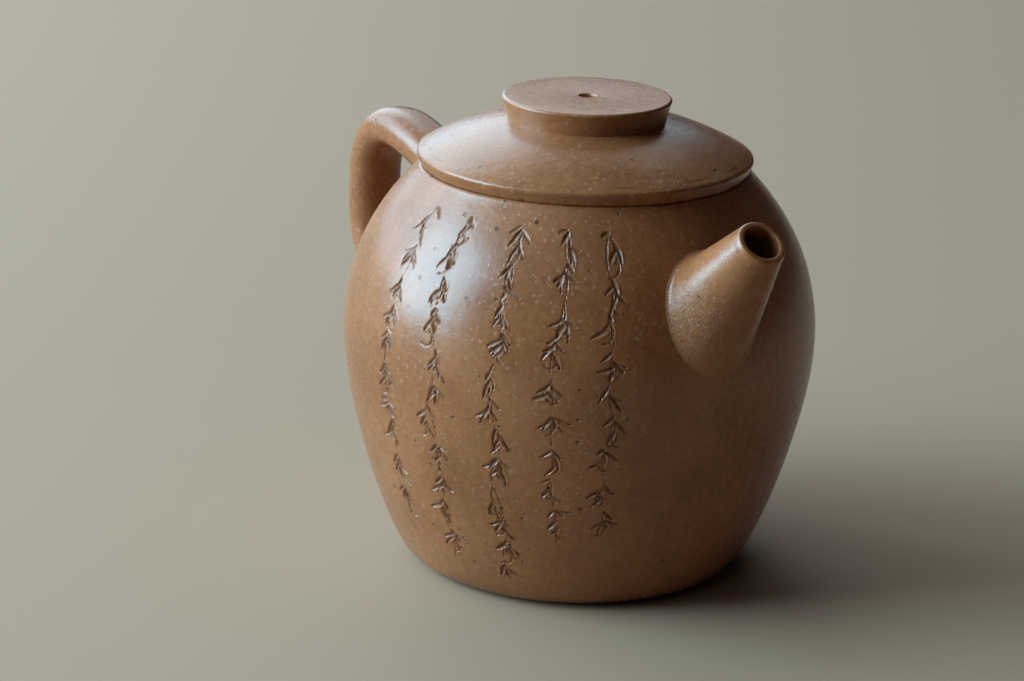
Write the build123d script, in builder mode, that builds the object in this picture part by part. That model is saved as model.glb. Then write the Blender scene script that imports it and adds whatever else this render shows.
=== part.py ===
from build123d import *
import os
from math import acos, atan2, cos, degrees, pi, radians, sin, tan

# Yixing clay teapot: a slab-built barrel pot with a press-over lid.
#
# Millimetres, +Z up. The origin is the middle of the flat foot, on the table.
# The spout points along +X and the handle stands opposite, on -X.

# ------------------------------------------------------------- driving sizes

# Barrel: the outside of the pot, from its foot to the rim of its mouth
belly_radius = 40.0
belly_height = 40.0
foot_radius = 30.0
foot_roll = 6.0  # radius of the rounded edge between the foot and the wall
rim_radius = 27.6
rim_height = 68.4
wall = 3.0
base_thickness = 3.0
shoulder_thickness = 3.0  # the slab that closes the barrel in around the mouth
mouth_radius = 22.5

# How far the barrel's curve runs straight on from the foot, the belly and the rim
foot_pull = (4.4, 7.5)
belly_pull_down = 10.0
belly_pull_up = 17.2
rim_pull = (2.0, 3.0)

# Lid: a domed disc that covers the whole rim, with a flange that drops in the mouth
lid_overhang = 0.7  # its sharp upper edge stands this far out from the rim
lid_undercut = 0.9  # from that edge the band draws in by this much
lid_band = 2.2  # height of the band
dome_rise = 7.0
dome_edge_pull = (8.8, 4.8)
dome_crown_pull = 12.0
lid_thickness = 3.0
flange_wall = 2.4
flange_depth = 8.5
flange_clearance = 0.35
flange_rounding = 0.6

# Knob: a flat disc on the middle of the lid, widest at its top
knob_radius = 14.3
knob_foot_radius = 13.1
knob_height = 4.6
knob_sink = 2.0  # its foot starts this far below the dome's top
knob_rounding = 0.5
vent_radius = 1.3

# Spout: a straight cone on the wall, with its mouth just below the rim's height
spout_reach = 8.5  # the middle of its mouth stands this far out from the belly
spout_drop = 1.3  # and this far below the rim
spout_angle = 50.5
spout_mouth_radius = 3.93
spout_bore_radius = 3.0
spout_taper = 15.6
spout_bore_taper = 10.0
spout_length = 26.0  # runs well into the barrel, which trims it
spout_trim = 1.9  # the cone's underside is drawn in by this much at that length
spout_lip = 0.35

# Strainer: a thin pierced dome inside the wall, over the way to the spout
passage_radius = 5.5
strainer_radius = 8.5
strainer_wall = 1.5
strainer_hole_radius = 0.8
strainer_rings = {0: 1, 26: 6, 52: 12}  # angle from its middle: number of holes

# Handle: an oval coil bent to an ear, opposite the spout
finger_gap = 24.8  # clear of the belly, at the widest
handle_thickness = 7.2
handle_width = 10.0
handle_top_drop = 2.7  # its upper corner and its upper root, below the rim
handle_root_drop = 12.4
handle_heel_height = 30.5
handle_low_root_height = 21.5
handle_root_depth = 6.0  # both roots start this far inside the belly's radius
handle_top_bend = 10.0
handle_low_bend = 20.0

# ---------------------------------------------------------- sizes worked out

shoulder_height = rim_height - shoulder_thickness
lid_edge_radius = rim_radius + lid_overhang
lid_edge_height = rim_height + lid_band
dome_height = lid_edge_height + dome_rise
flange_radius = mouth_radius - flange_clearance
hollow_radius = flange_radius - flange_wall
knob_foot_height = dome_height - knob_sink
spout_tip = Vector(belly_radius + spout_reach, 0, rim_height - spout_drop)
spout_way = Vector(cos(radians(spout_angle)), 0, sin(radians(spout_angle)))
spout_mouth = Plane(origin=spout_tip, x_dir=(0, 1, 0), z_dir=-spout_way)
spout_end_radius = spout_mouth_radius + spout_length * tan(radians(spout_taper)) - spout_trim / 2


def save(piece, name):
    """Name a finished piece and write it to a file of its own."""
    piece.label = name
    export_step(piece, f"parts/{name}.step")


def make_barrel(inset):
    """The barrel between base disc and rim as one solid, its wall moved in by inset."""
    foot = Vector(foot_radius - inset, base_thickness)
    belly = Vector(belly_radius - inset, belly_height)
    rim = Vector(rim_radius - inset, rim_height)
    with BuildPart(mode=Mode.PRIVATE) as barrel:
        with BuildSketch(Plane.XZ):
            with BuildLine():
                Bezier(
                    foot,
                    foot + Vector(*foot_pull),
                    belly - Vector(0, belly_pull_down),
                    belly,
                )
                Bezier(
                    belly,
                    belly + Vector(0, belly_pull_up),
                    rim + Vector(rim_pull[0], -rim_pull[1]),
                    rim,
                )
                Polyline(rim, (0, rim_height), (0, base_thickness), foot)
            make_face()
        revolve(axis=Axis.Z)
    return barrel.part


def make_lid_dome():
    """The lid's outer shape as one solid, flat below, before it is hollowed."""
    with BuildPart(mode=Mode.PRIVATE) as dome:
        with BuildSketch(Plane.XZ):
            with BuildLine():
                Polyline(
                    (0, dome_height),
                    (0, rim_height),
                    (lid_edge_radius - lid_undercut, rim_height),
                    (lid_edge_radius, lid_edge_height),
                )
                Bezier(
                    (lid_edge_radius, lid_edge_height),
                    (
                        lid_edge_radius - dome_edge_pull[0],
                        lid_edge_height + dome_edge_pull[1],
                    ),
                    (dome_crown_pull, dome_height),
                    (0, dome_height),
                )
            make_face()
        revolve(axis=Axis.Z)
    return dome.part


os.makedirs("parts", exist_ok=True)

outside = make_barrel(inset=0)
inside = make_barrel(inset=wall)
lid_dome = make_lid_dome()

# ---------------------------------------------------------------- the pot

# Base disc: flat underneath, with the rounded edge that the wall grows out of
roll_angle = degrees(acos(1 - base_thickness / foot_roll))
contact_radius = foot_radius - foot_roll * sin(radians(roll_angle))
with BuildPart() as base_disc:
    with BuildSketch(Plane.XZ):
        with BuildLine():
            Line((0, 0), (contact_radius, 0))
            JernArc((contact_radius, 0), (1, 0), foot_roll, roll_angle)
            Polyline((foot_radius, base_thickness), (0, base_thickness), (0, 0))
        make_face()
    revolve(axis=Axis.Z)
save(base_disc.part, "base_disc")

# Wall: the beaten slab, from the base disc to the shoulder, with the way to the spout
with BuildPart() as pot_wall:
    add(outside)
    add(inside, mode=Mode.SUBTRACT)
    split(bisect_by=Plane.XY.offset(shoulder_height), keep=Keep.BOTTOM)
    with BuildSketch(spout_mouth):
        Circle(passage_radius)
    extrude(amount=2 * spout_length, mode=Mode.SUBTRACT)
save(pot_wall.part, "pot_wall")

# Mouth ring: the shoulder slab, cut out for the mouth; the lid rests on its top
with BuildPart() as mouth_ring:
    add(outside)
    split(bisect_by=Plane.XY.offset(shoulder_height), keep=Keep.TOP)
    with BuildSketch(Plane.XY.offset(shoulder_height)):
        Circle(mouth_radius)
    extrude(amount=shoulder_thickness, mode=Mode.SUBTRACT)
save(mouth_ring.part, "mouth_ring")

# Spout: its root is trimmed to the wall that it is luted to
with BuildPart() as spout:
    with BuildSketch(spout_mouth):
        Circle(spout_mouth_radius)
    with BuildSketch(spout_mouth.offset(spout_length)):
        with Locations((0, -spout_trim / 2)):
            Circle(spout_end_radius)
    loft(ruled=True)
    with BuildSketch(spout_mouth):
        Circle(spout_bore_radius)
    extrude(amount=spout_length, taper=-spout_bore_taper, mode=Mode.SUBTRACT)
    mouth_face = spout.faces().sort_by(Axis(spout_tip, spout_way))[-1]
    fillet(mouth_face.edges(), spout_lip)
    add(outside, mode=Mode.SUBTRACT)
save(spout.part, "spout")

# Strainer: its middle is where the spout's axis comes through the inside of the wall
crossings = inside.find_intersection_points(Axis(spout_tip, spout_way))
strainer_middle, wall_normal = max(crossings, key=lambda hit: hit[0].X)
with BuildPart() as spout_strainer:
    with Locations(strainer_middle):
        Sphere(strainer_radius)
        Sphere(strainer_radius - strainer_wall, mode=Mode.SUBTRACT)
    for angle, count in strainer_rings.items():
        for turn in range(count):
            way = (-wall_normal).rotate(Axis.Y, angle)
            way = way.rotate(Axis((0, 0, 0), wall_normal), 360 * turn / count)
            with BuildSketch(Plane(origin=strainer_middle, z_dir=way)):
                Circle(strainer_hole_radius)
            extrude(amount=2 * strainer_radius, mode=Mode.SUBTRACT)
    add(inside, mode=Mode.INTERSECT)
save(spout_strainer.part, "spout_strainer")

# Handle: trimmed to the wall at both roots
root_radius = belly_radius - handle_root_depth
handle_reach = belly_radius + finger_gap + handle_thickness / 2
handle_run = handle_reach - root_radius
handle_upright = rim_height - handle_top_drop - handle_heel_height
top_turn = pi / 2 + atan2(handle_root_drop - handle_top_drop, handle_run)
low_turn = pi / 2 - atan2(handle_heel_height - handle_low_root_height, handle_run)
room_for_bends = handle_top_bend * tan(top_turn / 2) + handle_low_bend * tan(low_turn / 2)
# A short handle gets tighter bends, so that both still fit on its upright run.
bend_share = min(1, 0.9 * handle_upright / room_for_bends)
with BuildPart() as handle:
    with BuildLine(Plane.XZ) as ear:
        FilletPolyline(
            (-root_radius, rim_height - handle_root_drop),
            (-handle_reach, rim_height - handle_top_drop),
            (-handle_reach, handle_heel_height),
            (-root_radius, handle_low_root_height),
            radius=(bend_share * handle_top_bend, bend_share * handle_low_bend),
        )
    with BuildSketch(Plane(origin=ear.line @ 0, x_dir=(0, 1, 0), z_dir=ear.line % 0)):
        Ellipse(handle_width / 2, handle_thickness / 2)
    sweep(path=ear.line)
    add(outside, mode=Mode.SUBTRACT)
save(handle.part, "handle")

# ---------------------------------------------------------------- the lid

# Lid disc: domed, hollow under the dome, flat where it lies on the mouth ring
with BuildPart() as lid_disc:
    add(lid_dome)
    with BuildSketch(Plane.XZ):
        with BuildLine():
            TangentArc(
                (0, dome_height - lid_thickness), (hollow_radius, rim_height), tangent=(1, 0)
            )
            Polyline(
                (hollow_radius, rim_height), (0, rim_height), (0, dome_height - lid_thickness)
            )
        make_face()
    revolve(axis=Axis.Z, mode=Mode.SUBTRACT)
    with BuildSketch(Plane.XY.offset(rim_height)):
        Circle(vent_radius)
    extrude(amount=dome_height - rim_height, mode=Mode.SUBTRACT)
save(lid_disc.part, "lid_disc")

# Flange: the ring under the lid that keeps it in the mouth when the pot is tipped
with BuildPart() as lid_flange:
    with BuildSketch(Plane.XY.offset(rim_height)):
        Circle(flange_radius)
        Circle(hollow_radius, mode=Mode.SUBTRACT)
    extrude(amount=-flange_depth)
    fillet(lid_flange.faces().sort_by(Axis.Z)[0].edges(), flange_rounding)
save(lid_flange.part, "lid_flange")

# Knob: sits on the dome, with the air hole through its middle
with BuildPart() as lid_knob:
    with BuildSketch(Plane.XY.offset(knob_foot_height)):
        Circle(knob_foot_radius)
    with BuildSketch(Plane.XY.offset(knob_foot_height + knob_height)):
        Circle(knob_radius)
    loft(ruled=True)
    fillet(lid_knob.faces().sort_by(Axis.Z)[-1].edges(), knob_rounding)
    add(lid_dome, mode=Mode.SUBTRACT)
    with BuildSketch(Plane.XY.offset(knob_foot_height)):
        Circle(vent_radius)
    extrude(amount=knob_height, mode=Mode.SUBTRACT)
save(lid_knob.part, "lid_knob")
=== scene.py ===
import math
import random

import bpy
import numpy as np
from mathutils import Matrix, Vector


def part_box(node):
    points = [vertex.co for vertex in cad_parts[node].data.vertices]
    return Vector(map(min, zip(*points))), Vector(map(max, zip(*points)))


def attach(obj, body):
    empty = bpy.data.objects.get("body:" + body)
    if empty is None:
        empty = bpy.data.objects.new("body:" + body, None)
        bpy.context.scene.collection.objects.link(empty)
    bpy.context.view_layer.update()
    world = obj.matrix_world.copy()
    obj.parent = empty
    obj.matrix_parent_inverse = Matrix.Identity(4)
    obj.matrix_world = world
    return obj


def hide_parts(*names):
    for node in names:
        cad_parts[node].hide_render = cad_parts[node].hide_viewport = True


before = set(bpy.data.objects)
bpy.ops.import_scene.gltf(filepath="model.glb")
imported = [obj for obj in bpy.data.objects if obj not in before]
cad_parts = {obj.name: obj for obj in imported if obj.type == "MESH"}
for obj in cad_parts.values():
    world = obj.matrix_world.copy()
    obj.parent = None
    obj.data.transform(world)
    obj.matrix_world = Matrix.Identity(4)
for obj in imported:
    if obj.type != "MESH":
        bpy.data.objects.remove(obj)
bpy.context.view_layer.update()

# A small brown clay teapot: barrel pot, straight spout, ear handle and a lid with a flat knob.
# Shapes are worked out in millimetres, with the spout along +X and the handle along -X.
# The turned pieces take their sizes from the CAD nodes, and the other sizes are named below.

MM = 0.001
FULL_TURN = 2 * math.pi


# ------------------------------------------------------------ read from the frame

def vertices(node):
    """A CAD node's vertices as an array, in millimetres."""
    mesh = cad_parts[node].data
    co = np.empty(len(mesh.vertices) * 3, np.float32)
    mesh.vertices.foreach_get("co", co)
    return co.reshape(-1, 3).astype(float) / MM


def outline(node):
    """Heights and radii up the outside of a turned CAD node, read from its vertices."""
    hollow = 0.3  # rings of vertices further inside the convex outline belong to the inside
    co = vertices(node)
    z = np.round(co[:, 2], 2)
    r = np.hypot(co[:, 0], co[:, 1])
    heights = np.unique(z)
    radii = np.array([r[z == height].max() for height in heights])
    hull = []
    for point in zip(heights, radii):
        while len(hull) > 1:
            (ax, ay), (bx, by) = hull[-2:]
            if (bx - ax) * (point[1] - ay) - (by - ay) * (point[0] - ax) < 0:
                break
            hull.pop()
        hull.append(point)
    hull = np.array(hull)
    outer = radii > np.interp(heights, hull[:, 0], hull[:, 1]) - hollow
    return heights[outer], radii[outer]


def lowest(node):
    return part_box(node)[0].z / MM


def highest(node):
    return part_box(node)[1].z / MM


def inner_radius(node):
    co = vertices(node)
    return np.hypot(co[:, 0], co[:, 1]).min()


BASE = outline("base_disc")
WALL = outline("pot_wall")
RING = outline("mouth_ring")
DOME = outline("lid_disc")
FOOT_TOP = lowest("pot_wall")
SHOULDER = highest("pot_wall")
RIM = highest("mouth_ring")
MOUTH_RADIUS = inner_radius("mouth_ring")
FLANGE_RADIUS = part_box("lid_flange")[1].x / MM
HOLLOW_RADIUS = inner_radius("lid_flange")
VENT_RADIUS = inner_radius("lid_knob")
KNOB_TOP = highest("lid_knob")
LID_EDGE_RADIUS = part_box("lid_disc")[1].x / MM
LID_EDGE = DOME[0][np.argmax(DOME[1])]
DOME_TOP = highest("lid_disc")
BARREL = tuple(np.concatenate([BASE[i], WALL[i][1:], RING[i][1:]]) for i in (0, 1))

WALL_THICKNESS = 3.0
LID_THICKNESS = 3.0
SPOUT_ANGLE = math.radians(50.5)
SPOUT_TAPER = math.tan(math.radians(15.6))
BORE_TAPER = math.tan(math.radians(10.0))
SPOUT_TRIM = 1.9  # taken off the cone's underside at its root, so the cone leans up
SPOUT_LENGTH = 26
SPOUT_LEAN = SPOUT_TRIM / 2 / SPOUT_LENGTH
SPOUT_RADIUS = 3.93  # at the mouth, as is the bore's radius
BORE_RADIUS = 3.0
PASSAGE_RADIUS = 5.5  # of the hole in the pot's wall behind the spout
ROUND = np.linspace(0, FULL_TURN, 240, endpoint=False)


def barrel_radius(z):
    """Radius of the pot's outside at a height."""
    return np.interp(z, *BARREL)


def spout_frame():
    """The spout's axis, the directions above and across it, and its mouth's middle."""
    axis = np.array([math.cos(SPOUT_ANGLE), 0, math.sin(SPOUT_ANGLE)])
    across = np.array([0, 1, 0])
    co = vertices("spout")
    along = co @ axis
    slack = 0.02
    lip = co[along > along.max() - slack]
    return axis, np.cross(axis, across), across, (lip.max(0) + lip.min(0)) / 2


def wall_gap(p):
    """Distance of points from the barrel's outside, positive outside it."""
    r = np.hypot(p[..., 0], p[..., 1])
    step = 0.5
    slope = (barrel_radius(p[..., 2] + step) - barrel_radius(p[..., 2] - step)) / (2 * step)
    return (r - barrel_radius(p[..., 2])) / np.sqrt(1 + slope**2)


# ------------------------------------------------------------ mesh building

def waves(seed, count, shortest, longest):
    """Random directions, phases and weights of a slow unevenness, lengths in mm."""
    rng = np.random.default_rng(seed)
    way = rng.normal(size=(count, 3))
    way /= np.linalg.norm(way, axis=1)[:, None]
    length = np.exp(rng.uniform(math.log(shortest), math.log(longest), count))
    phase = rng.uniform(0, FULL_TURN, count)
    return way * (FULL_TURN / length)[:, None], phase, length / length.sum()


HAND = waves(seed=5, count=14, shortest=9, longest=40)
BARREL_UNEVEN = 0.16


def unevenness(p, height, finer=1):
    """How far the hand-worked surface stands proud at points p, in mm."""
    p = p * finer
    way, phase, weight = HAND
    total = np.zeros(p.shape[:-1])
    for k in range(len(phase)):
        total += weight[k] * np.sin(p @ way[k] + phase[k])
    return height * total


def mesh_piece(name, points, faces, body, slot, material, *replaced, sharp=38, **attributes):
    """A mesh object from points in mm, riding on a body in place of CAD nodes."""
    mesh = bpy.data.meshes.new(name)
    mesh.from_pydata((np.asarray(points).reshape(-1, 3) * MM).tolist(), [], faces)
    mesh.polygons.foreach_set("use_smooth", [True] * len(mesh.polygons))
    mesh.set_sharp_from_angle(angle=math.radians(sharp))
    for key, values in attributes.items():
        made = mesh.attributes.new(key, "FLOAT", "POINT")
        made.data.foreach_set("value", np.asarray(values, np.float32).ravel())
    piece = bpy.data.objects.new(name, mesh)
    bpy.context.scene.collection.objects.link(piece)
    mesh.materials.append(material)
    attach(piece, body)
    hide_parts(*replaced)
    return piece


def grid_faces(rows, columns, wrap_rows=True):
    """Quads over a grid whose columns close round, and its rows too if asked."""
    i = np.arange(rows if wrap_rows else rows - 1)
    j = np.arange(columns)
    i, j = np.meshgrid(i, j, indexing="ij")
    a = i * columns + j
    b = i * columns + (j + 1) % columns
    c = ((i + 1) % rows) * columns + (j + 1) % columns
    d = ((i + 1) % rows) * columns + j
    return np.stack([a, b, c, d], -1).reshape(-1, 4).tolist()


def end_caps(rows, columns):
    """The two faces that close the ends of a tube built by grid_faces."""
    last = (rows - 1) * columns
    return [list(range(columns))[::-1], list(range(last, last + columns))]


def turned(profile, angles):
    """Points of a profile of (radius, height) turned about the axis, row by row."""
    r, z = np.array(profile, float).T
    x = r[:, None] * np.cos(angles)
    y = r[:, None] * np.sin(angles)
    return np.stack([x, y, np.repeat(z[:, None], len(angles), 1)], -1)


def rounded(corners, steps=5):
    """A profile through corners of (r, z, rounding), each rounded by an arc."""
    out = []
    count = len(corners)
    for k, (r, z, rounding) in enumerate(corners):
        here = Vector((r, z))
        if not rounding:
            out.append((r, z))
            continue
        before = (Vector(corners[k - 1][:2]) - here).normalized()
        after = (Vector(corners[(k + 1) % count][:2]) - here).normalized()
        start = here + before * rounding
        end = here + after * rounding
        for t in np.linspace(0, 1, steps):
            point = start.lerp(here, t).lerp(here.lerp(end, t), t)
            out.append((point.x, point.y))
    return out


def push_radially(p, distance):
    """Points moved away from the pot's axis by distance."""
    r = np.maximum(np.hypot(p[..., 0], p[..., 1]), 1e-6)
    p = p.copy()
    p[..., 0] *= 1 + distance / r
    p[..., 1] *= 1 + distance / r
    return p


# ------------------------------------------------------------ materials

def node(tree, kind, **inputs):
    """A new shader node with values set on its inputs."""
    made = tree.nodes.new(kind)
    for key, value in inputs.items():
        made.inputs[key.replace("_", " ")].default_value = value
    return made


def ramp(tree, source, low, high, smooth=True):
    """Maps low..high of a value to 0..1."""
    made = tree.nodes.new("ShaderNodeMapRange")
    made.interpolation_type = "SMOOTHSTEP" if smooth else "LINEAR"
    made.inputs["From Min"].default_value = low
    made.inputs["From Max"].default_value = high
    tree.links.new(source, made.inputs["Value"])
    return made.outputs["Result"]


def maths(tree, operation, a, b):
    """The result of a sum on two values, each a number or a node's output."""
    made = tree.nodes.new("ShaderNodeMath")
    made.operation = operation
    for socket, value in zip(made.inputs, (a, b)):
        if isinstance(value, (int, float)):
            socket.default_value = value
        else:
            tree.links.new(value, socket)
    return made.outputs[0]


def blend_colour(tree, factor, a, b):
    """Colour a where factor is 0 and colour b where it is 1."""
    made = tree.nodes.new("ShaderNodeMix")
    made.data_type = "RGBA"
    for socket, value in ((made.inputs[0], factor), (made.inputs[6], a), (made.inputs[7], b)):
        if isinstance(value, tuple):
            socket.default_value = (*value, 1)
        elif isinstance(value, (int, float)):
            socket.default_value = value
        else:
            tree.links.new(value, socket)
    return made.outputs[2]


def clay(name, light, dark, roughness):
    """Unglazed clay: two close tones, pale and dark grains, pores, burnishing streaks and painted
    groove shade.
    """
    material = bpy.data.materials.new(name)
    material.use_nodes = True
    tree = material.node_tree
    shader = tree.nodes["Principled BSDF"]
    place = tree.nodes.new("ShaderNodeTexCoord").outputs["Object"]

    def texture(kind, per_mm, stretch=(1, 1, 1), **inputs):
        mapping = tree.nodes.new("ShaderNodeMapping")
        mapping.inputs["Scale"].default_value = [per_mm / MM * s for s in stretch]
        tree.links.new(place, mapping.inputs["Vector"])
        made = node(tree, kind, Scale=1.0, **inputs)
        tree.links.new(mapping.outputs[0], made.inputs["Vector"])
        return made

    def spots(per_mm, rare, size, edge):
        """Scattered round spots, 1 inside: rare is the share of cells left empty."""
        cells = texture("ShaderNodeTexVoronoi", per_mm, Randomness=1.0)
        radius = maths(tree, "MULTIPLY", ramp(tree, cells.outputs["Color"], rare, 1.0), size)
        return ramp(tree, maths(tree, "SUBTRACT", radius, cells.outputs["Distance"]), -edge, edge)

    def share(value, amount):
        return maths(tree, "MULTIPLY", value, amount)

    def total(*values):
        out = values[0]
        for value in values[1:]:
            out = maths(tree, "ADD", out, value)
        return out

    def attribute(key):
        made = tree.nodes.new("ShaderNodeAttribute")
        made.attribute_name = key
        return made.outputs["Fac"]

    cloud = texture("ShaderNodeTexNoise", per_mm=0.06, Detail=3.0).outputs[0]
    mottle = texture("ShaderNodeTexNoise", per_mm=0.9, Detail=4.0, Roughness=0.6).outputs[0]
    fine = texture("ShaderNodeTexNoise", per_mm=3.2, Detail=3.0, Roughness=0.7).outputs[0]
    streak = texture("ShaderNodeTexNoise", per_mm=0.22, stretch=(1, 1, 9), Detail=3.0).outputs[0]
    scratch = texture("ShaderNodeTexNoise", per_mm=0.5, stretch=(1, 1, 0.12), Detail=2.0).outputs[0]
    dimples = texture("ShaderNodeTexNoise", per_mm=0.35, Detail=2.0).outputs[0]
    grains = spots(per_mm=1.3, rare=0.42, size=0.50, edge=0.04)
    pores = spots(per_mm=0.45, rare=0.55, size=0.20, edge=0.02)
    cut = attribute("cut")
    sand = attribute("sand")
    sandy = share(spots(per_mm=2.6, rare=0.12, size=0.85, edge=0.10), sand)

    tone = ramp(tree, total(share(cloud, 0.7), share(mottle, 0.5)), 0.42, 0.78)
    colour = blend_colour(tree, tone, dark, light)
    colour = blend_colour(tree, share(grains, 0.30), colour, PALE_GRAIN)
    colour = blend_colour(tree, share(sandy, 0.30), colour, PALE_GRAIN)
    colour = blend_colour(tree, share(pores, 0.75), colour, PORE_AND_GROOVE_SHADE)
    # Painted shade: the engraved grooves are darkened towards the pore colour by their depth.
    colour = blend_colour(tree, share(cut, 0.42), colour, PORE_AND_GROOVE_SHADE)
    tree.links.new(colour, shader.inputs["Base Color"])

    worn = total(share(mottle, 0.10), share(streak, 0.06))
    mean_worn = 0.08  # the average of the two above
    rough = total(worn, share(cut, 0.3), share(sand, 0.16), roughness - mean_worn)
    tree.links.new(rough, shader.inputs["Roughness"])

    height = total(
        share(fine, 0.020),
        share(mottle, 0.016),
        share(streak, 0.004),
        share(scratch, 0.02),
        share(dimples, 0.05),
        share(pores, -0.09),
        share(grains, 0.020),
        share(sandy, 0.14),
    )
    bump = node(tree, "ShaderNodeBump", Strength=1.0, Distance=MM)
    tree.links.new(height, bump.inputs["Height"])
    tree.links.new(bump.outputs[0], shader.inputs["Normal"])
    return material


PALE_GRAIN = (0.46, 0.27, 0.15)
# The pores' dark tone, also painted into the engraved grooves as shade.
PORE_AND_GROOVE_SHADE = (0.035, 0.014, 0.006)
BURNISHED = clay(
    "burnished_clay",
    light=(0.350, 0.131, 0.050),
    dark=(0.246, 0.084, 0.029),
    roughness=0.27,
)
PLAIN = clay(
    "plain_clay",
    light=(0.370, 0.150, 0.064),
    dark=(0.274, 0.099, 0.038),
    roughness=0.60,
)


# ------------------------------------------------------------ engraved sprays

COLUMNS = (  # angle round the pot in degrees, top and bottom of the spray in mm
    (-27.0, 65.0, 17.0),
    (-39.5, 65.4, 15.5),
    (-54.0, 65.8, 8.5),
    (-71.0, 65.8, 7.5),
    (-86.0, 65.4, 18.5),
)
CUT_DEPTH = 0.30
BURR = 0.12

# A range below is lowest and highest, then the likeliest where there is a third number.
# Lengths are in mm and angles in degrees. A width is half of the cut's width.
TUFT_HEIGHT = (3.6, 5.8)
TUFT_GAP = (0.1, 0.9)
STEM_WANDER = (-0.8, 0.8)
STEM_SWAY = (-0.7, 0.7)  # in radians
STEM_WIDTH = 0.145
TWIG_LEAN = (-32, 32)
TWIG_SHARE = (0.55, 0.95)  # of the tuft's height
TWIG_WIDTH = 0.17
LEAF_COUNTS = (4, 4, 5, 6)  # one of these is drawn for each tuft, as of the tendrils' counts
LEAF_FAN = (14, 78, 44)
LEAF_BEND = (-48, 24)
LEAF_LENGTH = (1.3, 3.5, 2.3)
LEAF_WIDTH = (0.24, 0.38)
TENDRIL_COUNTS = (0, 1, 1, 2)
TENDRIL_CURL = (130, 230)
TENDRIL_LENGTH = (2.6, 4.4)
TENDRIL_WIDTH = 0.19


def stroke(start, heading, bend, length, width, steps=9):
    """A curved tapering cut, as points across and up the wall with half-widths."""
    points = []
    x, z = start
    for t in np.linspace(0, 1, steps):
        swell = math.sin(math.pi * (0.06 + 0.9 * t) ** 0.75) ** 0.7
        points.append((x, z, width * swell))
        x += math.sin(heading + bend * t) * length / (steps - 1)
        z -= math.cos(heading + bend * t) * length / (steps - 1)
    return points


def tuft(rng, x, z, height):
    """A node of the spray: a short twig, leaves that fan out from it and curled tendrils."""
    lean = math.radians(rng.uniform(*TWIG_LEAN))
    straightening = -1.6 * lean
    twig = stroke((x, z), lean, straightening, height * rng.uniform(*TWIG_SHARE), TWIG_WIDTH)
    cuts = [twig]
    side = rng.choice((-1, 1))
    for _ in range(rng.choice(LEAF_COUNTS)):
        across, up, _ = rng.choice(twig[:7])
        fan = side * math.radians(rng.triangular(*LEAF_FAN))
        bend = side * math.radians(rng.uniform(*LEAF_BEND))
        length = rng.triangular(*LEAF_LENGTH)
        cuts.append(stroke((across, up), fan, bend, length, rng.uniform(*LEAF_WIDTH)))
        side = -side
    for _ in range(rng.choice(TENDRIL_COUNTS)):
        across, up, _ = rng.choice(twig[2:])
        curl = side * math.radians(rng.uniform(*TENDRIL_CURL))
        length = rng.uniform(*TENDRIL_LENGTH)
        cuts.append(stroke((across, up), -0.25 * curl, curl, length, TENDRIL_WIDTH, steps=14))
        side = -side
    return cuts


def spray(rng, top, bottom):
    """The cuts of one hanging spray: tufts one below the other along a thin stem."""
    cuts = []
    x, z = 0.0, top
    while z > bottom:
        height = rng.uniform(*TUFT_HEIGHT)
        cuts += tuft(rng, x, z, height)
        below = (rng.uniform(*STEM_WANDER), z - height - rng.uniform(*TUFT_GAP))
        heading = math.atan2(below[0] - x, z - below[1])
        length = math.hypot(below[0] - x, z - below[1])
        sway = rng.uniform(*STEM_SWAY)
        cuts.append(stroke((x, z), heading - sway / 2, sway, length * 0.96, STEM_WIDTH))
        x, z = below
    return cuts


def nearness(px, pz, cut):
    """Distance from a cut in its half-widths, and how far to its lower right a point lies."""
    share = np.full(px.shape, 1e9)
    lower_right = np.zeros(px.shape)
    for (ax, az, aw), (bx, bz, bw) in zip(cut[:-1], cut[1:]):
        dx, dz = bx - ax, bz - az
        t = np.clip(((px - ax) * dx + (pz - az) * dz) / (dx * dx + dz * dz), 0, 1)
        ox, oz = px - ax - t * dx, pz - az - t * dz
        away = np.hypot(ox, oz) + 1e-6
        here = away / (aw + t * (bw - aw))
        lower_right = np.where(here < share, (ox - oz) / away, lower_right)
        share = np.minimum(share, here)
    return share, lower_right


def engrave(angles, heights):
    """Height of the burr and depth of the cut over a grid of angles and heights."""
    burr = np.zeros((len(heights), len(angles)))
    depth = np.zeros_like(burr)
    rng = random.Random(23)
    cuts = [(math.radians(a), np.array(c)) for a, top, low in COLUMNS for c in spray(rng, top, low)]
    reach = 1.2
    for angle, cut in cuts:
        low, high = cut.min(0) - reach, cut.max(0) + reach
        along = (angles - angle) * barrel_radius(cut[:, 1].mean())
        columns = np.nonzero((along > low[0]) & (along < high[0]))[0]
        rows = np.nonzero((heights > low[1]) & (heights < high[1]))[0]
        share, lower_right = nearness(*np.meshgrid(along[columns], heights[rows]), cut)
        width = cut[:, 2].max()
        groove = np.clip(1.1 - share, 0, 1) ** 0.8 * min(1.0, width / 0.3)
        thrown_up = (0.4 + 0.42 * lower_right) * min(1.0, width / 0.25)
        ridge = np.exp(-(((share - 1.5) / 0.45) ** 2)) * thrown_up
        window = np.ix_(rows, columns)
        depth[window] = np.maximum(depth[window], groove)
        burr[window] = np.maximum(burr[window], ridge)
    return burr, depth


# ------------------------------------------------------------ the pot

ENGRAVED = (-92.0, -20.0)  # the stretch of the wall that holds the sprays, in degrees
ENGRAVED_STEP = 0.26
PLAIN_COLUMNS = 64  # of the mesh, on the rest of the wall
WALL_ROWS = 276
INNER_ROWS = 14
PASSAGE_DRILL = (8, 45)  # how far behind the spout's mouth the drill starts and ends


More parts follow.
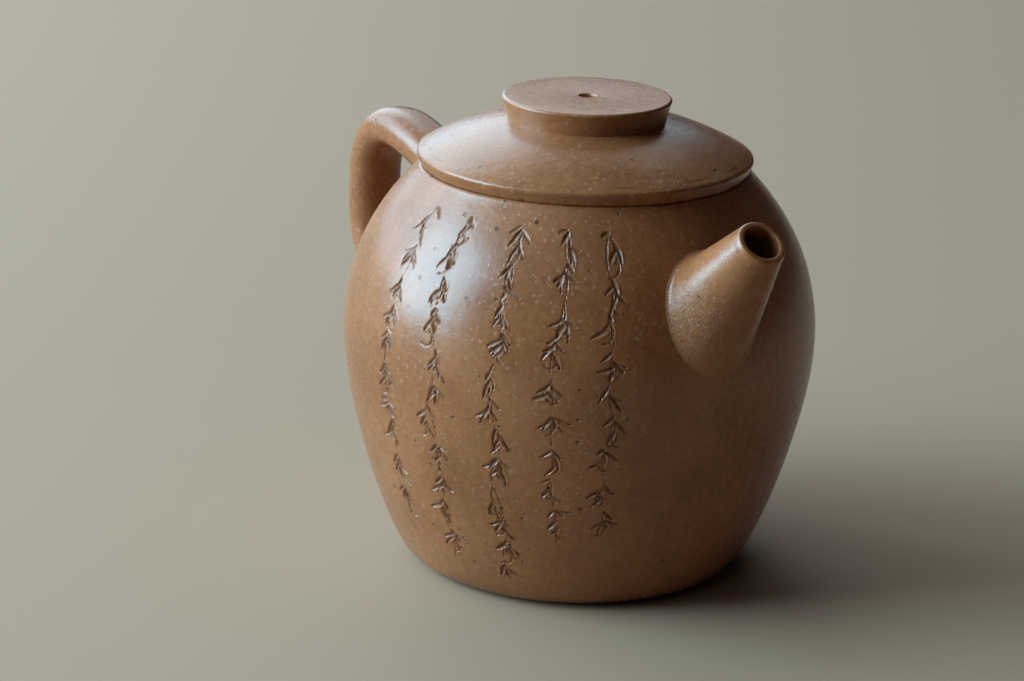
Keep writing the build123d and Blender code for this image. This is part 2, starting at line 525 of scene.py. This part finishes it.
def make_wall():
    """The barrel's wall, closely meshed where it is engraved."""
    start, end = ENGRAVED
    engraved = np.radians(np.arange(start, end, ENGRAVED_STEP))
    rest = np.radians(np.linspace(end, start + 360, PLAIN_COLUMNS, endpoint=False))
    angles = np.concatenate([engraved, rest])
    heights = np.linspace(FOOT_TOP, SHOULDER, WALL_ROWS)
    outer = [(barrel_radius(z), z) for z in heights]
    down = np.linspace(SHOULDER, FOOT_TOP, INNER_ROWS)
    inner = [(barrel_radius(z) - WALL_THICKNESS, z) for z in down]
    p = turned(outer + inner, angles)
    burr, depth = engrave(angles, heights)
    skin = p[:len(heights)]
    ragged = 1 + unevenness(skin, 0.5, finer=14)
    cuts = BURR * burr * ragged - CUT_DEPTH * depth * ragged
    lift = unevenness(skin, BARREL_UNEVEN) + cuts
    p[:len(heights)] = push_radially(skin, lift)
    # The cut attribute holds the engraving's depth: the clay material darkens the grooves with it
    # as painted shade, and roughens them.
    cut = np.zeros(p.shape[:2])
    cut[:len(heights)] = np.clip(depth * 1.5, 0, 1)
    piece = mesh_piece("barrel_wall", p, grid_faces(len(p), len(angles)), "pot", "burnished_clay",
                       BURNISHED, "pot_wall", cut=cut)
    open_passage(piece)


def open_passage(wall):
    """Cuts the way to the spout through the wall."""
    turn = np.linspace(0, FULL_TURN, 64, endpoint=False)
    axis, above, across, tip = spout_frame()
    out = np.cos(turn)[:, None] * above + np.sin(turn)[:, None] * across
    ends = [tip - axis * run + out * PASSAGE_RADIUS for run in PASSAGE_DRILL]
    faces = grid_faces(2, len(turn), wrap_rows=False)
    faces += end_caps(2, len(turn))
    mesh = bpy.data.meshes.new("passage")
    mesh.from_pydata((np.concatenate(ends) * MM).tolist(), [], faces)
    drill = bpy.data.objects.new("passage", mesh)
    bpy.context.scene.collection.objects.link(drill)
    cutter = wall.modifiers.new("passage", "BOOLEAN")
    cutter.object = drill
    cutter.solver = "MANIFOLD"
    evaluated = wall.evaluated_get(bpy.context.evaluated_depsgraph_get())
    cut_mesh = bpy.data.meshes.new_from_object(evaluated)
    wall.modifiers.clear()
    wall.data = cut_mesh
    bpy.data.objects.remove(drill)


def make_mouth_ring():
    """The shoulder ring, whose outside runs on from the wall's."""
    outside = [(r, z, 0) for z, r in zip(*RING)][:-1]
    top = [(RING[1][-1], RIM, 0.45), (MOUTH_RADIUS, RIM, 0.5)]
    profile = rounded(outside + top + [(MOUTH_RADIUS, SHOULDER, 0)])
    p = turned(profile, ROUND)
    p = push_radially(p, unevenness(p, BARREL_UNEVEN))
    mesh_piece("shoulder_ring", p, grid_faces(len(p), len(ROUND)), "pot", "burnished_clay",
               BURNISHED, "mouth_ring")


def make_base():
    """The base disc, flat below, with the rounded foot edge."""
    middle = 0.01  # the smallest ring of vertices, too small to see
    flat = (10, 20)
    edge = list(zip(BASE[1], BASE[0]))
    top = [(middle, FOOT_TOP)] + [(r, FOOT_TOP) for r in flat]
    profile = top + edge[::-1] + [(r, 0) for r in flat[::-1]] + [(middle, 0)]
    p = turned(profile, ROUND)
    towards_edge = np.clip(np.hypot(p[..., 0], p[..., 1]) / 28 - 0.5, 0, 1)
    p = push_radially(p, unevenness(p, BARREL_UNEVEN) * towards_edge * 2)
    mesh_piece("foot_slab", p, grid_faces(len(p), len(ROUND)), "pot", "plain_clay",
               BURNISHED, "base_disc")


def where_wall_is(place, gap, low, high):
    """For each angle, the distance along a tube at which its skin is gap from the wall."""
    low, high = np.array(low, float), np.array(high, float)
    for _ in range(40):
        middle = (low + high) / 2
        outside = wall_gap(place(middle)) > gap
        low = np.where(outside, middle, low)
        high = np.where(outside, high, middle)
    return (low + high) / 2


def root_swelling(swell, reach, fillet, steps=22):
    """Gap from the wall and added thickness, from the free tube down to its luted root."""
    out = []
    for t in np.linspace(1, 0, steps) ** 1.6:
        gap = t * 4 * reach
        curve = max(0.0, 1 - gap / fillet)
        extra = swell * math.exp(-gap / reach) + fillet * (1 - math.sqrt(1 - curve**2))
        out.append((gap, extra))
    buried = (-0.5, out[-1][1] + 0.1)
    return out + [buried]


def roughened(p, middle, height, finer):
    """Points moved out from the middle by the unevenness, which fades away at the wall."""
    outward = p - middle
    outward /= np.linalg.norm(outward, axis=-1)[..., None]
    fade = np.clip(wall_gap(p) / 2, 0, 1)
    return p + outward * (unevenness(p, height, finer) * fade)[..., None]


# ------------------------------------------------------------ spout

SAND_PATCH = (41.0, -7.5, 51.5)  # rough spot on the side of the root, left unburnished


def sandiness(p):
    """1 in the sandy patch, fading to 0 round it."""
    return np.clip(1.7 - np.linalg.norm(p - np.array(SAND_PATCH), axis=-1) / 4.8, 0, 1)


def make_spout():
    """The spout: a leaning cone, swollen and filleted at its root, with a tapered bore."""
    axis, above, across, tip = spout_frame()
    turn = np.linspace(0, FULL_TURN, 144, endpoint=False)
    out = np.cos(turn)[:, None] * above + np.sin(turn)[:, None] * across
    fullness = 0.54 + 0.46 * np.cos(turn)

    def at(run, radius):
        return tip - axis * np.asarray(run)[..., None] + out * np.asarray(radius)[..., None]

    def cone(run, extra=0.0):
        lean = above * np.asarray(run)[..., None] * SPOUT_LEAN
        return at(run, SPOUT_RADIUS + run * (SPOUT_TAPER - SPOUT_LEAN) + extra) + lean

    def bore(run):
        return at(run, BORE_RADIUS + run * BORE_TAPER)

    zero = np.zeros(len(turn))
    far = np.full(len(turn), 27.0)
    lip_depth = 1.0
    lip_profile = rounded([
        (BORE_RADIUS + BORE_TAPER * lip_depth, lip_depth, 0),
        (BORE_RADIUS, 0.0, 0.30),
        (SPOUT_RADIUS, 0.0, 0.34),
        (SPOUT_RADIUS + SPOUT_TAPER * lip_depth, lip_depth, 0),
    ])
    rows = [at(zero + run, zero + radius) for radius, run in lip_profile]
    root = root_swelling(swell=0.55, reach=1.7, fillet=0.55)
    start = where_wall_is(cone, root[0][0], zero, far)
    for t in np.linspace(0, 1, 36)[1:-1]:
        rows.append(cone(lip_depth + t * (start - lip_depth)))
    for gap, extra in root:
        run = where_wall_is(lambda q: cone(q, extra * fullness), gap, zero, far)
        rows.append(cone(run, extra * fullness))
    end = where_wall_is(bore, -0.6, zero, far)
    for t in np.linspace(1, 0, 14)[:-1]:
        rows.append(bore(lip_depth + t * (end - lip_depth)))
    p = np.array(rows)
    p = roughened(p, tip + axis * ((p - tip) @ axis)[..., None], 0.10, finer=1.6)
    mesh_piece("spout_tube", p, grid_faces(len(p), len(turn)), "pot", "burnished_clay",
               BURNISHED, "spout", sharp=60, sand=sandiness(p))


# ------------------------------------------------------------ handle

HANDLE_ROUTE = (  # distance from the pot's axis and height, from the upper root to the lower
    (35.5, 56.2), (42.0, 58.1), (50.0, 60.5), (58.0, 62.0), (64.0, 60.6), (67.5, 55.8),
    (68.35, 49.5), (67.9, 42.5), (65.4, 35.8), (60.4, 30.4), (53.5, 26.8), (45.0, 24.4),
    (37.4, 22.4),
)
HANDLE_STEPS = 110
HANDLE_HALF_WIDTH = 4.95
HANDLE_HALF_THICKNESS = 3.55
HANDLE_TURN = np.linspace(0, FULL_TURN, 56, endpoint=False)
HANDLE_SQUARENESS = 2 / 2.35  # 1 is an ellipse, and less is squarer
ROOT_LENGTH = 7.0  # of the route, at each end, that the filleted roots stand in for
ROOT_SEARCH = (-14.0, 8.0)


def smooth_path(points, count):
    """Points and directions along a smooth curve through the route's points."""
    q = np.array(points, float)
    q = np.vstack([2 * q[0] - q[1], q, 2 * q[-1] - q[-2]])
    place, way = [], []
    for u in np.linspace(0, len(points) - 1, count):
        k = min(int(u), len(points) - 2)
        t = u - k
        a, b, c, d = q[k:k + 4]
        square = 2 * a - 5 * b + 4 * c - d
        cube = 3 * b - a - 3 * c + d
        place.append(0.5 * (2 * b + (c - a) * t + square * t**2 + cube * t**3))
        step = 0.5 * ((c - a) + 2 * square * t + 3 * cube * t**2)
        way.append(step / np.linalg.norm(step))
    return np.array(place), np.array(way)


def squared(wave):
    """A sine or cosine reshaped, to make an oval a little squarer."""
    return np.sign(wave) * abs(wave) ** HANDLE_SQUARENESS


def handle_ring(place, way, grow, extra=0.0):
    """A ring of the oval section about a point of the route."""
    normal = np.array([way[1], 0, way[0]])
    across = np.array([0, 1, 0])
    offset = (squared(np.cos(HANDLE_TURN)) * HANDLE_HALF_THICKNESS * grow)[:, None] * normal
    offset = offset + (squared(np.sin(HANDLE_TURN)) * HANDLE_HALF_WIDTH * grow)[:, None] * across
    length = np.linalg.norm(offset, axis=1)[:, None]
    offset = offset * (1 + np.asarray(extra).reshape(-1, 1) / length)
    return np.array([-place[0], 0, place[1]]) + offset


def handle_root(place, way, sign, grow):
    """Fillet rings from the coil to the wall, at one end of the route."""
    direction = np.array([-way[0], 0, way[1]]) * sign
    nearest, furthest = (np.full(len(HANDLE_TURN), limit) for limit in ROOT_SEARCH)
    rings = []
    for gap, extra in root_swelling(swell=0.7, reach=1.5, fillet=1.0, steps=14):
        wider = handle_ring(place, way, grow, extra)

        def along(q):
            return wider - direction * np.asarray(q)[..., None]

        rings.append(along(where_wall_is(along, gap, nearest, furthest)))
    return rings


def fullness_at(run, total):
    """The coil is a little fuller near its roots."""
    return 1 + 0.07 * math.exp(-run / 9) + 0.05 * math.exp(-(total - run) / 9)


def make_handle():
    """The handle: an oval coil along the route, luted to the wall at both ends."""
    place, way = smooth_path(HANDLE_ROUTE, HANDLE_STEPS)
    run = np.concatenate([[0], np.cumsum(np.linalg.norm(np.diff(place, axis=0), axis=1))])
    total = run[-1]
    top = handle_root(place[0], way[0], 1, fullness_at(0, total))
    low = handle_root(place[-1], way[-1], -1, fullness_at(total, total))
    keep = [k for k in range(len(run)) if ROOT_LENGTH < run[k] < total - ROOT_LENGTH]
    middle = [handle_ring(place[k], way[k], fullness_at(run[k], total)) for k in keep]
    p = np.array(top[::-1] + middle + low)
    p = roughened(p, p.mean(1, keepdims=True), 0.16, finer=1.5)
    faces = grid_faces(len(p), len(HANDLE_TURN), wrap_rows=False)
    faces += end_caps(len(p), len(HANDLE_TURN))
    mesh_piece("ear_handle", p, faces, "pot", "burnished_clay", BURNISHED, "handle", sharp=60)


# ------------------------------------------------------------ lid

def make_lid():
    """The lid's domed top with the band round its edge, hollow below."""
    band_top = LID_EDGE + 0.4
    domed = [(r, z, 0) for z, r in zip(*DOME) if z > band_top and r > VENT_RADIUS][::-1]
    domed = domed[:1] + domed[1:-1:3] + domed[-1:]
    band_foot = DOME[1][0]
    rise = DOME_TOP - LID_THICKNESS - RIM
    hollow_bend = (HOLLOW_RADIUS**2 + rise**2) / (2 * rise)
    hollow = []
    for r in np.linspace(HOLLOW_RADIUS, VENT_RADIUS, 14):
        hollow.append((r, RIM + rise - hollow_bend + math.sqrt(hollow_bend**2 - r * r), 0))
    corners = domed + [(LID_EDGE_RADIUS, LID_EDGE, 0.60), (band_foot, RIM, 0.50)] + hollow
    p = turned(rounded(corners, steps=9), ROUND)
    on_edge = np.hypot(p[..., 0], p[..., 1]) > band_foot - 0.6
    on_dome = p[..., 2] > LID_EDGE + 0.5
    p[..., 2] += unevenness(p, 0.08, finer=1.2) * on_dome
    p = push_radially(p, (unevenness(p, 0.14, finer=4) - 0.04) * on_edge)
    mesh_piece("domed_lid", p, grid_faces(len(p), len(ROUND)), "lid", "burnished_clay",
               BURNISHED, "lid_disc")


def make_flange():
    """The ring under the lid that drops into the mouth."""
    low = lowest("lid_flange")
    rounding = 0.6
    ring = [
        (FLANGE_RADIUS, RIM, 0),
        (FLANGE_RADIUS, low, rounding),
        (HOLLOW_RADIUS, low, rounding),
        (HOLLOW_RADIUS, RIM, 0),
    ]
    p = turned(rounded(ring), ROUND)
    mesh_piece("lid_neck", p, grid_faces(len(p), len(ROUND)), "lid", "plain_clay",
               PLAIN, "lid_flange")


def dome_height(radius):
    """Height of the lid's dome at a distance from the axis."""
    above_edge = DOME[0] > LID_EDGE
    return float(np.interp(-radius, -DOME[1][above_edge], DOME[0][above_edge]))


def make_knob():
    """The flat disc knob that stands on the dome, with the air hole through it."""
    co = vertices("lid_knob")
    r = np.hypot(co[:, 0], co[:, 1])
    under_the_knob = 13  # every vertex further out than this is on the knob's side or top
    foot_z = co[:, 2][r > under_the_knob].min()
    foot = r[co[:, 2] < foot_z + 0.05].max()
    edge = r.max() + 0.02
    sunk = 0.05
    side_end = 0.35
    below = [(q, dome_height(q) - sunk, 0) for q in np.linspace(VENT_RADIUS, foot, 10)]
    corners = [
        (VENT_RADIUS, KNOB_TOP, 0.35),
        *below[:-1],
        (foot, foot_z - sunk, 0),
        (foot + 0.03, foot_z + side_end, 0),
        (edge, KNOB_TOP - side_end, 0),
        (edge - 0.15, KNOB_TOP, 0.42),
        (edge - 4, KNOB_TOP, 0),
    ]
    p = turned(rounded(corners, steps=6), ROUND)
    away_from_hole = np.hypot(p[..., 0], p[..., 1]) > 5
    p = push_radially(p, unevenness(p, 0.12, finer=1.3) * away_from_hole)
    mesh_piece("disc_knob", p, grid_faces(len(p), len(ROUND)), "lid", "burnished_clay",
               BURNISHED, "lid_knob")


def finish_strainer():
    """The strainer's CAD node stays, in plain clay."""
    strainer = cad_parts["spout_strainer"]
    strainer.data.materials.clear()
    strainer.data.materials.append(PLAIN)


# ------------------------------------------------------------ stage, camera and light

FLOOR_HALF = 4.0
FLOOR_COLOUR = (0.37, 0.240, 0.148, 1)
MIDDLE_HEIGHT = 0.04
VIEW_FROM = (-35, 17.46, 0.5)  # azimuth and elevation in degrees, distance in metres
VIEW_TARGET = (-0.0057, -0.0098, 0.0373)
VIEW_ROLL = math.radians(1.63)
VIEW_LENS = 103.3
# Name, azimuth and elevation in degrees, distance and size in metres, power in watts, tint.
LIGHTS = (
    ("window", -119, 22, 1.1, (0.80, 0.78), 22.5, (0.45, 0.79, 1.0)),
    ("wall_left", -128, 30, 1.6, (2.0, 1.4), 35.5, (0.60, 0.80, 1.0)),
    ("wall_back_left", 178, 26, 1.6, (1.5, 1.3), 17.0, (0.58, 0.82, 1.0)),
    ("wall_back", 152, 34, 1.6, (1.2, 1.2), 5.2, (0.84, 0.94, 1.0)),
    ("ceiling", -60, 60, 1.6, (1.2, 1.2), 1.6, (1.0, 0.92, 0.86)),
)


def make_floor():
    """A plain pale floor with a warm tint."""
    mesh = bpy.data.meshes.new("floor")
    corners = [(x * FLOOR_HALF, y * FLOOR_HALF, 0) for x, y in ((-1, -1), (1, -1), (1, 1), (-1, 1))]
    mesh.from_pydata(corners, [], [(0, 1, 2, 3)])
    floor = bpy.data.objects.new("floor", mesh)
    bpy.context.scene.collection.objects.link(floor)
    material = bpy.data.materials.new("floor_paper")
    material.use_nodes = True
    shader = material.node_tree.nodes["Principled BSDF"]
    shader.inputs["Base Color"].default_value = FLOOR_COLOUR
    shader.inputs["Roughness"].default_value = 0.9
    mesh.materials.append(material)


def aim(thing, target, roll=0.0):
    """Turns an object's -Z towards a point."""
    away = (thing.location - Vector(target)).normalized()
    right = Vector((0, 0, 1)).cross(away).normalized()
    above = away.cross(right)
    turned_right = right * math.cos(roll) + above * math.sin(roll)
    turned_above = away.cross(turned_right)
    thing.rotation_euler = Matrix((turned_right, turned_above, away)).transposed().to_euler()


def around(azimuth, elevation, distance):
    """A place by its direction from the pot's middle: azimuth from the spout, in degrees."""
    a, e = math.radians(azimuth), math.radians(elevation)
    flat = distance * math.cos(e)
    height = MIDDLE_HEIGHT + distance * math.sin(e)
    return Vector((flat * math.cos(a), flat * math.sin(a), height))


def make_camera():
    """The camera, at the photograph's viewing angle."""
    data = bpy.data.cameras.new("camera")
    data.lens = VIEW_LENS
    data.sensor_width = 36
    data.clip_start = 0.01
    camera = bpy.data.objects.new("camera", data)
    bpy.context.scene.collection.objects.link(camera)
    camera.location = around(*VIEW_FROM)
    aim(camera, VIEW_TARGET, VIEW_ROLL)
    bpy.context.scene.camera = camera


def area_light(name, azimuth, elevation, distance, size, power, colour):
    """A soft panel that faces the pot."""
    data = bpy.data.lights.new(name, "AREA")
    data.shape = "RECTANGLE"
    data.size, data.size_y = size
    data.energy = power
    data.color = colour
    light = bpy.data.objects.new(name, data)
    bpy.context.scene.collection.objects.link(light)
    light.location = around(azimuth, elevation, distance)
    aim(light, (0, 0, MIDDLE_HEIGHT))


def make_world():
    """A faint even light from all round."""
    world = bpy.data.worlds.new("studio")
    bpy.context.scene.world = world
    world.use_nodes = True
    background = world.node_tree.nodes["Background"]
    background.inputs["Color"].default_value = (0.9, 0.95, 1.0, 1)
    background.inputs["Strength"].default_value = 0.015


make_wall()
make_mouth_ring()
make_base()
make_spout()
make_handle()
make_lid()
make_flange()
make_knob()
finish_strainer()
make_floor()
make_camera()
for light in LIGHTS:
    area_light(*light)
make_world()
bpy.context.scene.view_settings.view_transform = "Standard"
